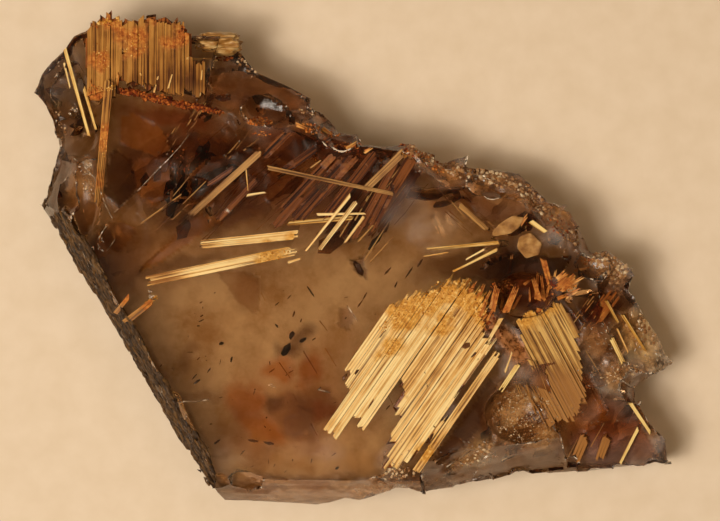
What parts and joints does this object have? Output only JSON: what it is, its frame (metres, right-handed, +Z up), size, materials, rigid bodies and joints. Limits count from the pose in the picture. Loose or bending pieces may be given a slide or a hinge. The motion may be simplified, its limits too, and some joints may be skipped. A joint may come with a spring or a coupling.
{
  "type": "rutilated quartz specimen",
  "caption": "Broken slab of clear smoky quartz lying on its flat face, with golden rutile sheaves, blades and needles in and on it, for display.",
  "frame": {"origin": "on the surface that the specimen lies on, under the middle of its box", "axes": "+X along its length, from the lobe with the top sheaf towards the spur; +Y across it, towards the top sheaf's side; +Z up through its broken face"},
  "size_m": [0.071, 0.054, 0.0131],
  "materials": {
    "smoky_quartz": "clear smoky-brown quartz with fresh, shiny broken faces",
    "golden_rutile": "striated straws and blades with a silky cream-gold shine",
    "brown_rutile": "flat red-brown blades, glossy",
    "pale_quartz": "cloudy pale quartz full of fine golden fibres",
    "iron_crust": "rust-red granular crust, dull"
  },
  "bodies": {
    "root": {"bright_blade": "golden_rutile", "cavity_flake_1": "brown_rutile", "cavity_flake_2": "brown_rutile", "cavity_flake_3": "brown_rutile", "chunk_blade": "golden_rutile", "corner_blade_1": "golden_rutile", "corner_blade_2": "golden_rutile", "corner_blade_3": "brown_rutile", "corner_blade_4": "brown_rutile", "crossing_blade_1": "golden_rutile", "crossing_blade_2": "golden_rutile", "crossing_blade_3": "golden_rutile", "diagonal_blade": "brown_rutile", "dull_blade": "brown_rutile", "east_needle_1": "golden_rutile", "east_needle_2": "golden_rutile", "edge_blade_1": "golden_rutile", "edge_blade_2": "golden_rutile", "left_needle_1": "golden_rutile", "left_needle_2": "golden_rutile", "long_thin_blade": "golden_rutile", "main_sheaf": "golden_rutile", "main_straw_1": "golden_rutile", "main_straw_2": "golden_rutile", "main_straw_3": "golden_rutile", "main_straw_4": "golden_rutile", "main_straw_5": "golden_rutile", "main_straw_6": "golden_rutile", "main_strip": "golden_rutile", "pale_knob": "pale_quartz", "plate_blade": "golden_rutile", "plate_stem": "brown_rutile", "quartz_lower": "smoky_quartz", "quartz_upper": "smoky_quartz", "red_blade_1": "brown_rutile", "red_blade_2": "brown_rutile", "red_blade_3": "brown_rutile", "ridge_blade": "brown_rutile", "right_needle_1": "golden_rutile", "right_needle_2": "golden_rutile", "right_plate": "brown_rutile", "right_sheaf": "golden_rutile", "right_sheaf_ends": "golden_rutile", "row_blade_lower": "golden_rutile", "row_blade_third": "golden_rutile", "row_blade_upper": "golden_rutile", "rust_crust": "iron_crust", "tan_plate_1": "golden_rutile", "tan_plate_2": "golden_rutile", "top_sheaf": "golden_rutile", "top_sheaf_tail": "golden_rutile", "window_blade": "golden_rutile"}
  },
  "joints": []
}
